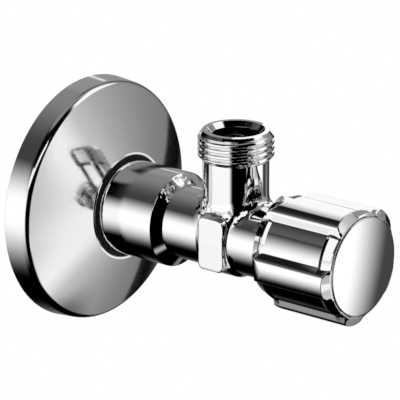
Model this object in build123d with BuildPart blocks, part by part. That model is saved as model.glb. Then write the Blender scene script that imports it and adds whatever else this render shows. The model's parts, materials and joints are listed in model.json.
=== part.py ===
"""Chrome angle valve: forged body, sliding wall rosette, non-rising headwork and five-lobed handle.

The valve's axis is X, pointing out of the wall. The wall is the plane X = 0, and the outlet points
up along Z. All sizes are in millimetres, and the valve is drawn closed.
"""
import os
from math import atan2, cos, radians, sin, sqrt

from build123d import *

# Inlet thread and polished spigot
inlet_thread_diameter = 20.955
inlet_thread_length = 11.0
inlet_bore_diameter = 12.4
inlet_lead_in = 0.9
inlet_runout_diameter = 18.6
inlet_runout_length = 1.5
spigot_diameter = 21.3
spigot_length = 27.2
spigot_edge_round = 0.35
shoulder_length = 1.7

# Forged tube, block and marking pads
tube_diameter = 16.5
body_past_outlet = 11.7
block_diameter = 18.1
block_before_outlet = 4.7
block_past_outlet = 4.3
block_slope = 0.9
pad_past_outlet = 0.2
pad_span = 18.6
pad_length = 6.8
pad_top = 5.7
pad_bottom = -6.1
pad_corner = 1.3

# Outlet branch
outlet_position = 42.9
outlet_height = 23.95
outlet_thread_diameter = 16.662
outlet_thread_length = 6.65
outlet_foot_chamfer = 0.95
outlet_lead_in = 1.1
outlet_lead_in_length = 1.5
neck_diameter = 14.5
neck_blend = 1.6
pipe_socket_diameter = 10.6
pipe_stop_height = 11.0
outlet_bore_diameter = 8.6
outlet_lip_diameter = 12.6
outlet_lip_depth = 1.2

# Seat, chamber and headwork thread inside the body
seat_before_outlet = 6.9
seat_bore_diameter = 8.0
seat_lip_width = 0.9
seat_lip_height = 0.8
seat_wall = 3.0
chamber_diameter = 13.2
headwork_thread_diameter = 14.0
headwork_thread_length = 5.4

# Headwork bonnet
gasket_thickness = 0.5
gasket_inset = 0.1
bonnet_sleeve_diameter = 12.6
bonnet_sleeve_length = 5.0
bonnet_hexagon = 16.0
bonnet_hexagon_length = 3.2
bonnet_neck_diameter = 12.0
bonnet_neck_length = 6.7
stem_bore_length = 6.1
guide_bore_diameter = 10.6
guide_bore_length = 7.4
guide_hexagon = 9.0

# Spindle with its seals and rings
stem_diameter = 6.8
collar_diameter = 8.8
collar_length = 1.1
thrust_ring_thickness = 0.5
spindle_thread_diameter = 5.8
spindle_thread_length = 9.9
stem_seal_section = 1.0
stem_seal_setback = 1.3
stem_seal_pitch = 2.5
circlip_thickness = 0.7
circlip_width = 1.5
circlip_depth = 0.5
circlip_opening = 2.4
spline_length = 5.0
spline_diameter = 6.7
spline_tooth_depth = 0.45
spline_teeth = 20
spline_setback = 0.2

# Plunger and its washer
washer_diameter = 10.4
washer_thickness = 2.6
washer_grip = 1.0
plunger_cup_wall = 0.6
plunger_cup_floor = 1.2
plunger_stem_diameter = 8.4
plunger_stem_length = 4.4
plunger_head_length = 3.6
plunger_seal_section = 1.1
plunger_hexagon_length = 5.6
plunger_bore_depth = 10.0
washer_plate_diameter = 6.4
washer_plate_thickness = 0.5
washer_screw_diameter = 3.0
washer_screw_length = 6.0
washer_screw_head = 5.2
washer_screw_head_height = 1.3

# Wall rosette
rosette_diameter = 55.3
rosette_side = 5.4
rosette_depth = 12.4
rosette_wall = 0.8
rosette_edge_round = 1.1
rosette_lip_diameter = 24.4
rosette_collar_wall = 0.7
rosette_collar_length = 2.6
rosette_lip_round = 0.3
grip_ring_length = 1.7
grip_ring_setback = 0.5

# Handle grip
grip_diameter = 26.72
lobe_count = 5
lobe_first_angle = 25.3
lobe_top_half_angle = 12.75
lobe_foot_half_angle = 17.15
lobe_crown_radius = 8.0
lobe_edge_round = 1.2
lobe_setback = 1.5
lobe_length = 18.65
lobe_rear_chamfer = 0.45
grip_gap = 1.4
grip_length = 21.4
grip_rear_diameter = 21.8
grip_floor_diameter = 22.9
floor_setback = 2.45
floor_length = 15.45
floor_ramp_rise = 0.7
grip_mouth_diameter = 22.6
skirt_bore_diameter = 19.8
skirt_depth = 13.0
hub_diameter = 13.0
hub_length = 2.6
hub_bore_diameter = 10.0
hub_web = 2.8
cap_pocket_diameter = 19.2

# Handle cap and fastener
cap_diameter = 22.14
cap_thickness = 2.0
cap_dome_height = 0.35
cap_edge_round = 0.25
cap_skirt_wall = 0.7
cap_skirt_length = 1.8
cap_seat_depth = 1.8
lock_washer_thickness = 0.6
lock_washer_diameter = 8.6
lock_washer_split = 0.8
handle_screw_diameter = 4.0
handle_screw_length = 7.4
handle_screw_head = 7.0
handle_screw_head_height = 2.2
handle_screw_head_round = 0.8
screw_slot_width = 1.0
screw_slot_depth = 1.0
screw_hole_spare = 0.6

# Clearances
running_clearance = 0.05
thread_clearance = 0.06
groove_clearance = 0.08
fit_clearance = 0.04
contact_gap = 0.02

# How far a cut runs past the material it takes away
cut_margin = 1.0

os.makedirs("parts", exist_ok=True)

# Places along the axis that follow from the sizes above
body_end = outlet_position + body_past_outlet
block_start = outlet_position - block_before_outlet
block_end = outlet_position + block_past_outlet
pad_position = outlet_position + pad_past_outlet
seat_position = outlet_position - seat_before_outlet
seat_floor = seat_position - seat_lip_height
thread_start = body_end - headwork_thread_length
bonnet_inner_end = thread_start - bonnet_sleeve_length
bonnet_flange = body_end + gasket_thickness
bonnet_neck_start = bonnet_flange + bonnet_hexagon_length
bonnet_neck_end = bonnet_neck_start + bonnet_neck_length
bonnet_shoulder = bonnet_neck_end - stem_bore_length
guide_hexagon_start = bonnet_inner_end + guide_bore_length
thrust_ring_start = bonnet_shoulder - contact_gap - thrust_ring_thickness
collar_start = thrust_ring_start - collar_length
spindle_thread_start = collar_start - spindle_thread_length
circlip_start = bonnet_neck_end + contact_gap
circlip_groove_end = circlip_start + circlip_thickness + contact_gap
washer_front = seat_position + contact_gap
washer_back = washer_front + washer_thickness
plunger_cup_front = washer_back - washer_grip
plunger_stem_start = washer_back + plunger_cup_floor
plunger_head_start = plunger_stem_start + plunger_stem_length
plunger_seal_position = plunger_head_start + plunger_head_length/2
plunger_hexagon_start = plunger_head_start + plunger_head_length
plunger_end = plunger_hexagon_start + plunger_hexagon_length
washer_plate_front = washer_front - washer_plate_thickness
grip_rear = body_end + grip_gap
grip_front = grip_rear + grip_length
lobe_rear = grip_rear + lobe_setback
lobe_front = lobe_rear + lobe_length
floor_start = grip_rear + floor_setback
floor_end = floor_start + floor_length
skirt_end = grip_rear + skirt_depth
hub_rear = skirt_end - hub_length
hub_front = skirt_end + hub_web
spline_end = hub_front - spline_setback
spline_start = spline_end - spline_length
cap_seat = grip_front - cap_seat_depth
cap_edge = cap_seat + cap_thickness
screw_seat = hub_front + lock_washer_thickness
screw_tip = screw_seat - handle_screw_length
rosette_slope = atan2(rosette_depth - rosette_side, (rosette_diameter - rosette_lip_diameter)/2)

# Radii that two pieces share
stem_bore = stem_diameter/2 + running_clearance
stem_groove = stem_diameter/2 - stem_seal_section
plunger_head = guide_bore_diameter/2 - running_clearance
plunger_groove = guide_bore_diameter/2 - running_clearance - plunger_seal_section
handle_screw_hole = handle_screw_diameter/2 + thread_clearance
washer_screw_hole = washer_screw_diameter/2 + thread_clearance
rosette_collar_bore = rosette_lip_diameter/2 - rosette_collar_wall


def section(points):
    """Face on the XZ plane through points given as (place along the axis, radius)."""
    with BuildSketch(Plane.XZ) as outline:
        with BuildLine():
            Polyline(*points, close=True)
        make_face()
    return outline.sketch


def ring_section(start, end, inner_radius, outer_radius):
    """Section of a plain ring about the axis."""
    return section([(start, inner_radius), (end, inner_radius), (end, outer_radius), (start, outer_radius)])


def seal_section(place, inner_radius, diameter):
    """Round section of a seal ring about the axis."""
    with BuildSketch(Plane.XZ) as outline:
        with Locations((place, inner_radius + diameter/2)):
            Circle(diameter/2)
    return outline.sketch


def corner_radius(across_flats):
    """Radius of a hexagon's corners from its width across the flats."""
    return across_flats/2/cos(radians(30))


def spline_outline(diameter):
    """Toothed face of the splined end, normal to the axis."""
    half_step = radians(180/spline_teeth)
    radii = (diameter/2, diameter/2 - spline_tooth_depth)
    tips = []
    for corner in range(2*spline_teeth):
        radius = radii[corner % 2]
        tips.append((radius*cos(corner*half_step), radius*sin(corner*half_step)))
    with BuildSketch(Plane.YZ.offset(spline_start)) as outline:
        with BuildLine():
            Polyline(*tips, close=True)
        make_face()
    return outline.sketch


def circles_at(builder, place, radius):
    """Circular edges about the axis at one place and radius."""
    return [
        edge for edge in builder.edges().filter_by(GeomType.CIRCLE)
        if abs(edge.radius - radius) < 1e-4 and abs(edge.arc_center.X - place) < 1e-4
    ]


def save(builder, name):
    """Label a finished piece and write it."""
    builder.part.label = name
    export_step(builder.part, f"parts/{name}.step")


# Valve body, one forging: inlet thread, spigot, tube, block with pads, outlet and seat
thread_foot = outlet_height - outlet_thread_length
outlet_axis = Axis((outlet_position, 0, 0), (0, 0, 1))
with BuildPart() as valve_body:
    revolve(section([
        (-inlet_thread_length, 0),
        (-inlet_thread_length, inlet_thread_diameter/2 - inlet_lead_in),
        (inlet_lead_in - inlet_thread_length, inlet_thread_diameter/2),
        (0, inlet_thread_diameter/2),
        (0, inlet_runout_diameter/2),
        (inlet_runout_length, inlet_runout_diameter/2),
        (inlet_runout_length, spigot_diameter/2),
        (spigot_length, spigot_diameter/2),
        (spigot_length + shoulder_length, tube_diameter/2),
        (body_end, tube_diameter/2),
        (body_end, 0),
    ]), axis=Axis.X)
    fillet(circles_at(valve_body, spigot_length, spigot_diameter/2), spigot_edge_round)
    with BuildSketch(Plane.XY):
        with Locations((outlet_position, 0)):
            Circle(neck_diameter/2)
    extrude(amount=thread_foot)
    fillet(valve_body.edges(Select.LAST).filter_by(GeomType.BSPLINE), neck_blend)
    revolve(section([
        (block_start, 0),
        (block_start, tube_diameter/2),
        (block_start + block_slope, block_diameter/2),
        (block_end - block_slope, block_diameter/2),
        (block_end, tube_diameter/2),
        (block_end, 0),
    ]), axis=Axis.X)
    with BuildSketch(Plane.XZ.offset(-pad_span/2)):
        with Locations((pad_position, (pad_top + pad_bottom)/2)):
            RectangleRounded(pad_length, pad_top - pad_bottom, pad_corner)
    extrude(amount=pad_span)
    revolve(section([
        (outlet_position, thread_foot),
        (outlet_position + outlet_thread_diameter/2 - outlet_foot_chamfer, thread_foot),
        (outlet_position + outlet_thread_diameter/2, thread_foot + outlet_foot_chamfer),
        (outlet_position + outlet_thread_diameter/2, outlet_height - outlet_lead_in_length),
        (outlet_position + outlet_thread_diameter/2 - outlet_lead_in, outlet_height),
        (outlet_position, outlet_height),
    ]), axis=outlet_axis)
    revolve(section([
        (-inlet_thread_length, 0),
        (-inlet_thread_length, inlet_bore_diameter/2),
        (seat_floor - seat_wall, inlet_bore_diameter/2),
        (seat_floor - seat_wall, seat_bore_diameter/2),
        (seat_position, seat_bore_diameter/2),
        (seat_position, seat_bore_diameter/2 + seat_lip_width),
        (seat_floor, seat_bore_diameter/2 + seat_lip_width),
        (seat_floor, chamber_diameter/2),
        (thread_start, chamber_diameter/2),
        (thread_start, headwork_thread_diameter/2 + thread_clearance),
        (body_end, headwork_thread_diameter/2 + thread_clearance),
        (body_end, 0),
    ]), axis=Axis.X, mode=Mode.SUBTRACT)
    revolve(section([
        (outlet_position, 0),
        (outlet_position + outlet_bore_diameter/2, 0),
        (outlet_position + outlet_bore_diameter/2, pipe_stop_height),
        (outlet_position + pipe_socket_diameter/2, pipe_stop_height),
        (outlet_position + pipe_socket_diameter/2, outlet_height - outlet_lip_depth),
        (outlet_position + outlet_lip_diameter/2, outlet_height),
        (outlet_position, outlet_height),
    ]), axis=outlet_axis, mode=Mode.SUBTRACT)
save(valve_body, "valve_body")

# Wall rosette, spun from sheet: side wall, cone and a lip rolled back into a collar
cone_shift = rosette_wall/cos(rosette_slope)
inner_side = rosette_diameter/2 - rosette_wall
inner_corner = rosette_side - cone_shift + rosette_wall*(rosette_depth - rosette_side)/(
    (rosette_diameter - rosette_lip_diameter)/2)
with BuildPart() as rosette:
    revolve(section([
        (0, rosette_diameter/2),
        (rosette_side, rosette_diameter/2),
        (rosette_depth, rosette_lip_diameter/2),
        (rosette_depth, rosette_collar_bore),
        (rosette_depth - rosette_collar_length, rosette_collar_bore),
        (rosette_depth - rosette_collar_length, rosette_lip_diameter/2),
        (rosette_depth - cone_shift, rosette_lip_diameter/2),
        (inner_corner, inner_side),
        (0, inner_side),
    ]), axis=Axis.X)
    fillet(circles_at(rosette, rosette_side, rosette_diameter/2), rosette_edge_round)
    lip_edges = circles_at(rosette, rosette_depth, rosette_lip_diameter/2)
    lip_edges += circles_at(rosette, rosette_depth, rosette_collar_bore)
    fillet(lip_edges, rosette_lip_round)
save(rosette, "rosette")

# Rubber ring in the rosette's collar, which grips the spigot
with BuildPart() as rosette_grip_ring:
    revolve(ring_section(
        rosette_depth - grip_ring_setback - grip_ring_length,
        rosette_depth - grip_ring_setback,
        spigot_diameter/2 + running_clearance,
        rosette_collar_bore - contact_gap,
    ), axis=Axis.X)
save(rosette_grip_ring, "rosette_grip_ring")

# Headwork bonnet, screwed into the body
with BuildPart() as headwork_bonnet:
    revolve(section([
        (bonnet_inner_end, 0),
        (bonnet_inner_end, bonnet_sleeve_diameter/2),
        (thread_start, bonnet_sleeve_diameter/2),
        (thread_start, headwork_thread_diameter/2),
        (bonnet_flange, headwork_thread_diameter/2),
        (bonnet_flange, bonnet_neck_diameter/2),
        (bonnet_neck_end, bonnet_neck_diameter/2),
        (bonnet_neck_end, 0),
    ]), axis=Axis.X)
    with BuildSketch(Plane.YZ.offset(bonnet_flange)):
        RegularPolygon(corner_radius(bonnet_hexagon), 6)
    extrude(amount=bonnet_hexagon_length)
    with BuildSketch(Plane.YZ.offset(bonnet_inner_end)):
        Circle(guide_bore_diameter/2)
    extrude(amount=guide_bore_length, mode=Mode.SUBTRACT)
    with BuildSketch(Plane.YZ.offset(guide_hexagon_start)):
        RegularPolygon(corner_radius(guide_hexagon), 6)
    extrude(amount=bonnet_shoulder - guide_hexagon_start, mode=Mode.SUBTRACT)
    with BuildSketch(Plane.YZ.offset(bonnet_shoulder)):
        Circle(stem_bore)
    extrude(amount=stem_bore_length, mode=Mode.SUBTRACT)
save(headwork_bonnet, "headwork_bonnet")

# Flat gasket between the body and the bonnet's hexagon
with BuildPart() as headwork_gasket:
    revolve(ring_section(
        body_end,
        bonnet_flange,
        headwork_thread_diameter/2 + gasket_inset,
        tube_diameter/2 - gasket_inset,
    ), axis=Axis.X)
save(headwork_gasket, "headwork_gasket")

# Spindle: thread, collar, stem with two seal grooves, circlip groove and splined end
seal_places = [bonnet_shoulder + stem_seal_setback + number*stem_seal_pitch for number in range(2)]
groove_half_width = stem_seal_section/2 + groove_clearance
stem_points = [(thrust_ring_start, stem_diameter/2)]
for seal_place in seal_places:
    stem_points += [
        (seal_place - groove_half_width, stem_diameter/2),
        (seal_place - groove_half_width, stem_groove),
        (seal_place + groove_half_width, stem_groove),
        (seal_place + groove_half_width, stem_diameter/2),
    ]
with BuildPart() as spindle:
    revolve(section([
        (spindle_thread_start, 0),
        (spindle_thread_start, spindle_thread_diameter/2),
        (collar_start, spindle_thread_diameter/2),
        (collar_start, collar_diameter/2),
        (thrust_ring_start, collar_diameter/2),
        *stem_points,
        (bonnet_neck_end, stem_diameter/2),
        (bonnet_neck_end, stem_diameter/2 - circlip_depth),
        (circlip_groove_end, stem_diameter/2 - circlip_depth),
        (circlip_groove_end, spline_diameter/2),
        (spline_start, spline_diameter/2),
        (spline_start, 0),
    ]), axis=Axis.X)
    extrude(spline_outline(spline_diameter), amount=spline_length, dir=(1, 0, 0))
    with BuildSketch(Plane.YZ.offset(spline_end)):
        Circle(handle_screw_hole)
    extrude(amount=screw_tip - screw_hole_spare - spline_end, mode=Mode.SUBTRACT)
save(spindle, "spindle")

# Seal rings of the stem
for seal_name, seal_place in zip(("stem_seal_inner", "stem_seal_outer"), seal_places):
    with BuildPart() as stem_seal:
        revolve(seal_section(seal_place, stem_groove + contact_gap, stem_seal_section), axis=Axis.X)
    save(stem_seal, seal_name)

# Slip ring between the spindle's collar and the bonnet's shoulder
with BuildPart() as thrust_ring:
    revolve(ring_section(
        thrust_ring_start,
        bonnet_shoulder - contact_gap,
        stem_diameter/2 + contact_gap,
        collar_diameter/2,
    ), axis=Axis.X)
save(thrust_ring, "thrust_ring")

# Circlip that holds the spindle in the bonnet
circlip_bore = stem_diameter/2 - circlip_depth + contact_gap
with BuildPart() as spindle_circlip:
    with BuildSketch(Plane.YZ.offset(circlip_start)):
        Circle(circlip_bore + circlip_width)
        Circle(circlip_bore, mode=Mode.SUBTRACT)
        with Locations((0, -circlip_bore - circlip_width/2)):
            Rectangle(circlip_opening, 2*circlip_width, mode=Mode.SUBTRACT)
    extrude(amount=circlip_thickness)
save(spindle_circlip, "spindle_circlip")

# Plunger: washer cup, stem, sealed head and hexagon that keeps it from turning
with BuildPart() as plunger:
    revolve(section([
        (plunger_cup_front, washer_diameter/2 + contact_gap),
        (plunger_cup_front, washer_diameter/2 + contact_gap + plunger_cup_wall),
        (plunger_stem_start, washer_diameter/2 + contact_gap + plunger_cup_wall),
        (plunger_stem_start, plunger_stem_diameter/2),
        (plunger_head_start, plunger_stem_diameter/2),
        (plunger_head_start, plunger_head),
        (plunger_seal_position - plunger_seal_section/2 - groove_clearance, plunger_head),
        (plunger_seal_position - plunger_seal_section/2 - groove_clearance, plunger_groove),
        (plunger_seal_position + plunger_seal_section/2 + groove_clearance, plunger_groove),
        (plunger_seal_position + plunger_seal_section/2 + groove_clearance, plunger_head),
        (plunger_hexagon_start, plunger_head),
        (plunger_hexagon_start, 0),
        (washer_back, 0),
        (washer_back, washer_diameter/2 + contact_gap),
    ]), axis=Axis.X)
    with BuildSketch(Plane.YZ.offset(plunger_hexagon_start)):
        RegularPolygon(corner_radius(guide_hexagon - 2*running_clearance), 6)
    extrude(amount=plunger_hexagon_length)
    with BuildSketch(Plane.YZ.offset(plunger_end)):
        Circle(spindle_thread_diameter/2 + thread_clearance)
    extrude(amount=-plunger_bore_depth, mode=Mode.SUBTRACT)
    with BuildSketch(Plane.YZ.offset(washer_back)):
        Circle(washer_screw_hole)
    extrude(
        amount=washer_plate_front + washer_screw_length + screw_hole_spare - washer_back,
        mode=Mode.SUBTRACT,
    )
save(plunger, "plunger")

# Seal ring of the plunger
with BuildPart() as plunger_seal:
    revolve(seal_section(
        plunger_seal_position, plunger_groove + contact_gap, plunger_seal_section), axis=Axis.X)
save(plunger_seal, "plunger_seal")

# Rubber washer that closes the seat
with BuildPart() as valve_washer:
    revolve(ring_section(washer_front, washer_back, washer_screw_hole, washer_diameter/2), axis=Axis.X)
save(valve_washer, "valve_washer")

# Plate that spreads the washer screw's clamping
with BuildPart() as washer_plate:
    revolve(ring_section(
        washer_plate_front, washer_front, washer_screw_hole, washer_plate_diameter/2), axis=Axis.X)
save(washer_plate, "washer_plate")

# Screw that clamps the washer to the plunger
with BuildPart() as washer_screw:
    revolve(section([
        (washer_plate_front - washer_screw_head_height, 0),
        (washer_plate_front - washer_screw_head_height, washer_screw_head/2),
        (washer_plate_front, washer_screw_head/2),
        (washer_plate_front, washer_screw_diameter/2),
        (washer_plate_front + washer_screw_length, washer_screw_diameter/2),
        (washer_plate_front + washer_screw_length, 0),
    ]), axis=Axis.X)
    with BuildSketch(Plane.YZ.offset(washer_plate_front - washer_screw_head_height)):
        Rectangle(2*washer_screw_head, screw_slot_width)
    extrude(amount=washer_screw_head_height/2, mode=Mode.SUBTRACT)
save(washer_screw, "washer_screw")

# Handle grip: a core turned with a ramped floor, and lobes that stand between the finger recesses
grip_radius = grip_diameter/2
floor_radius = grip_floor_diameter/2
mouth_radius = grip_mouth_diameter/2
front_cone_run = (grip_front - lobe_front)/(grip_radius - mouth_radius)
ramp_end = lobe_front + (grip_radius - floor_radius - floor_ramp_rise)*front_cone_run
ramp_slope = floor_ramp_rise/(ramp_end - floor_end)
lobe_foot = (
    floor_radius*cos(radians(lobe_foot_half_angle)),
    floor_radius*sin(radians(lobe_foot_half_angle)),
)
lobe_half_width = grip_radius*sin(radians(lobe_top_half_angle))
lobe_crown_drop = lobe_crown_radius - sqrt(lobe_crown_radius**2 - lobe_half_width**2)
lobe_top = (grip_radius - lobe_crown_drop, lobe_half_width)
lobe_root = lobe_foot[0] - floor_ramp_rise
with BuildSketch() as lobe_outline:
    with BuildLine():
        Polyline((lobe_root, -lobe_foot[1]), (lobe_foot[0], -lobe_foot[1]), (lobe_top[0], -lobe_top[1]))
        ThreePointArc((lobe_top[0], -lobe_top[1]), (grip_radius, 0), lobe_top)
        Polyline(lobe_top, lobe_foot, (lobe_root, lobe_foot[1]), (lobe_root, -lobe_foot[1]))
    make_face()
    fillet(lobe_outline.vertices().group_by(SortBy.DISTANCE)[-1], lobe_edge_round)
with BuildPart() as handle_grip:
    revolve(section([
        (grip_rear, 0),
        (grip_rear, grip_rear_diameter/2),
        (floor_start, floor_radius),
        (floor_end, floor_radius),
        (grip_front, floor_radius + (grip_front - floor_end)*ramp_slope),
        (grip_front, 0),
    ]), axis=Axis.X)
    with BuildSketch(Plane.YZ.offset(lobe_rear)):
        with PolarLocations(0, lobe_count, start_angle=90 + lobe_first_angle):
            add(lobe_outline.sketch)
    extrude(amount=grip_front - lobe_rear)
    revolve(section([
        (lobe_front - front_cone_run*cut_margin, grip_radius + cut_margin),
        (grip_front + front_cone_run*cut_margin, mouth_radius - cut_margin),
        (grip_front + front_cone_run*cut_margin, grip_radius + cut_margin),
    ]), axis=Axis.X, mode=Mode.SUBTRACT)
    revolve(section([
        (lobe_rear - lobe_rear_chamfer, grip_radius - 2*lobe_rear_chamfer),
        (lobe_rear + 2*lobe_rear_chamfer, grip_radius + lobe_rear_chamfer),
        (lobe_rear - lobe_rear_chamfer, grip_radius + lobe_rear_chamfer),
    ]), axis=Axis.X, mode=Mode.SUBTRACT)
    revolve(section([
        (grip_rear, 0),
        (grip_rear, skirt_bore_diameter/2),
        (skirt_end, skirt_bore_diameter/2),
        (skirt_end, hub_diameter/2),
        (hub_rear, hub_diameter/2),
        (hub_rear, hub_bore_diameter/2),
        (hub_front, hub_bore_diameter/2),
        (hub_front, cap_pocket_diameter/2),
        (cap_seat, cap_pocket_diameter/2),
        (cap_seat, mouth_radius),
        (grip_front, mouth_radius),
        (grip_front, 0),
    ]), axis=Axis.X, mode=Mode.SUBTRACT)
save(handle_grip, "handle_grip")

# Splined bush pressed into the grip's hub
with BuildPart() as spline_bush:
    revolve(ring_section(hub_rear, hub_front, 0, hub_bore_diameter/2 - contact_gap), axis=Axis.X)
    with BuildSketch(Plane.YZ.offset(hub_rear)):
        Circle(spline_diameter/2 + fit_clearance)
    extrude(amount=spline_start - hub_rear, mode=Mode.SUBTRACT)
    extrude(
        spline_outline(spline_diameter + 2*fit_clearance),
        amount=hub_front - spline_start,
        dir=(1, 0, 0),
        mode=Mode.SUBTRACT,
    )
save(spline_bush, "spline_bush")

# Split lock washer under the handle screw
with BuildPart() as screw_lock_washer:
    with BuildSketch(Plane.YZ.offset(hub_front)):
        Circle(lock_washer_diameter/2)
        Circle(handle_screw_hole, mode=Mode.SUBTRACT)
        with Locations((0, lock_washer_diameter/2)):
            Rectangle(lock_washer_split, lock_washer_diameter, mode=Mode.SUBTRACT)
    extrude(amount=lock_washer_thickness)
save(screw_lock_washer, "screw_lock_washer")

# Handle screw with a slotted pan head
with BuildPart() as handle_screw:
    revolve(section([
        (screw_tip, 0),
        (screw_tip, handle_screw_diameter/2),
        (screw_seat, handle_screw_diameter/2),
        (screw_seat, handle_screw_head/2),
        (screw_seat + handle_screw_head_height, handle_screw_head/2),
        (screw_seat + handle_screw_head_height, 0),
    ]), axis=Axis.X)
    fillet(
        circles_at(handle_screw, screw_seat + handle_screw_head_height, handle_screw_head/2),
        handle_screw_head_round,
    )
    with BuildSketch(Plane.YZ.offset(screw_seat + handle_screw_head_height)):
        Rectangle(2*handle_screw_head, screw_slot_width)
    extrude(amount=-screw_slot_depth, mode=Mode.SUBTRACT)
save(handle_screw, "handle_screw")

# Domed cap that snaps into the grip's front
cap_skirt_radius = cap_pocket_diameter/2 - contact_gap
with BuildPart() as handle_cap:
    with BuildSketch(Plane.XZ):
        with BuildLine():
            rim = Polyline(
                (cap_edge, cap_diameter/2),
                (cap_seat, cap_diameter/2),
                (cap_seat, cap_skirt_radius),
                (cap_seat - cap_skirt_length, cap_skirt_radius),
                (cap_seat - cap_skirt_length, cap_skirt_radius - cap_skirt_wall),
                (cap_seat, cap_skirt_radius - cap_skirt_wall),
                (cap_seat, 0),
                (cap_edge + cap_dome_height, 0),
            )
            ThreePointArc(
                rim @ 1,
                (cap_edge + cap_dome_height*3/4, cap_diameter/4),
                rim @ 0,
            )
        make_face()
    revolve(axis=Axis.X)
    fillet(circles_at(handle_cap, cap_edge, cap_diameter/2), cap_edge_round)
save(handle_cap, "handle_cap")
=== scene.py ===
"""Looks of a chrome angle valve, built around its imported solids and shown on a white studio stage.

The valve's axis is X, out of the wall. The wall is the plane X = 0, and the outlet points up along Z.
Lengths are in metres. Profiles are written in millimetres and scaled once.
"""

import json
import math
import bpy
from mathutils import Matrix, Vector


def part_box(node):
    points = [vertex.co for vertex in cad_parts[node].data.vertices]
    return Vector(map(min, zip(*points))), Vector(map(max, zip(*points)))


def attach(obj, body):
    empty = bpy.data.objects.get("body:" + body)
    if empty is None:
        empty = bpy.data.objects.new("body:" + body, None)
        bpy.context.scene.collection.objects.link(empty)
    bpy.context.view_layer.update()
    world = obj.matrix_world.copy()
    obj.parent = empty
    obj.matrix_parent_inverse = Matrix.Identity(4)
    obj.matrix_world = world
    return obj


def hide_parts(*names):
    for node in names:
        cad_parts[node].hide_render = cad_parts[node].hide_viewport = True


bl_info = {
    "name": "Angle valve looks",
    "version": (1, 0, 0),
    "blender": (4, 5, 0),
    "location": "3D View > Sidebar > Angle valve",
    "description": "Polished meshes, finishes and a white studio stage for a chrome angle valve",
    "category": "Object",
}

import bmesh
import bpy
import numpy as np
from mathutils import Matrix, Vector

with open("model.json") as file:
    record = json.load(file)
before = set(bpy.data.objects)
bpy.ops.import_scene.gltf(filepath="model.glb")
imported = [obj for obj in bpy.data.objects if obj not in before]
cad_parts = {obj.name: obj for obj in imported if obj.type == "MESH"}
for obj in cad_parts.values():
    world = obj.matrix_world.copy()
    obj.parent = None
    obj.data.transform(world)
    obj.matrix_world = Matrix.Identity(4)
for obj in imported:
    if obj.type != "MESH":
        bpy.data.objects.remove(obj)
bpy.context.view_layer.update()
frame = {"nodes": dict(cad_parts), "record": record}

MM = 0.001
# Arcs are drawn in steps of this angle, with a straight stretch in millimetres kept beside each.
ROUND_STEP = math.radians(9)
HOLD = 0.08
# Edges that bend by more than this are shaded sharp.
SHARP = math.radians(40)
# Cell of the net that the forged middle is meshed with, in millimetres.
NET_STEP = 0.215
ROSETTE_SEGMENTS = 320
SPIGOT_SEGMENTS = 256
OUTLET_SEGMENTS = 288
CAP_SEGMENTS = 256
# The camera that the photograph was fitted with: its place in metres, its axes and its lens.
CAMERA_PLACE = (0.5020226, -0.5765455, 0.2532919)
CAMERA_RIGHT = Vector((0.77600, 0.63073, -0.00185))
CAMERA_UP = Vector((-0.19802, 0.24642, 0.94872))
CAMERA_BACK = Vector((0.59884, -0.73584, 0.31611))
CAMERA_LENS = 321.66
CAMERA_SENSOR = 36.0
ROSETTE_LOW, ROSETTE_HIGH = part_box("rosette")
BODY_LOW, BODY_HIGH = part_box("valve_body")
GRIP_LOW, GRIP_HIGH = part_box("handle_grip")
CAP_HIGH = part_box("handle_cap")[1]


def length(name, description, default):
    """A length that a user may change, with its default in millimetres."""
    return bpy.props.FloatProperty(
        name=name, description=description, default=default*MM, unit="LENGTH", precision=5)


def swing(name, description, degrees):
    """An angle that a user may change, with its default in degrees."""
    return bpy.props.FloatProperty(
        name=name, description=description, default=math.radians(degrees), subtype="ANGLE")


def share(name, description, default, top=1.0):
    """A plain number between 0 and a top value that a user may change."""
    return bpy.props.FloatProperty(name=name, description=description, default=default, min=0.0, max=top)


def colour(name, description, default):
    """A linear colour that a user may change."""
    return bpy.props.FloatVectorProperty(
        name=name, description=description, default=default, subtype="COLOR", min=0.0, max=1.0)


class RosetteSizes(bpy.types.PropertyGroup):
    """Sizes of the spun wall rosette."""
    diameter: length("Diameter", "Across the rim", (ROSETTE_HIGH.y - ROSETTE_LOW.y)/MM)
    depth: length("Depth", "From the wall to the lip", ROSETTE_HIGH.x/MM)
    side: length("Side", "Height of the side wall", 5.4)
    wall: length("Wall", "Thickness of the sheet", 0.8)
    draft: length("Draft", "How far the side leans in towards the cone", 0.45)
    edge_round: length("Edge round", "Round between the side and the cone", 1.9)
    dome: length("Dome", "How far the cone bulges", 0.16)
    lip_diameter: length("Lip", "Across the rolled lip", 24.4)
    lip_round: length("Lip round", "Round of the rolled lip", 0.3)
    collar_wall: length("Collar wall", "Thickness of the collar behind the lip", 0.7)
    collar_length: length("Collar length", "How far the collar runs back", 2.6)


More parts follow.
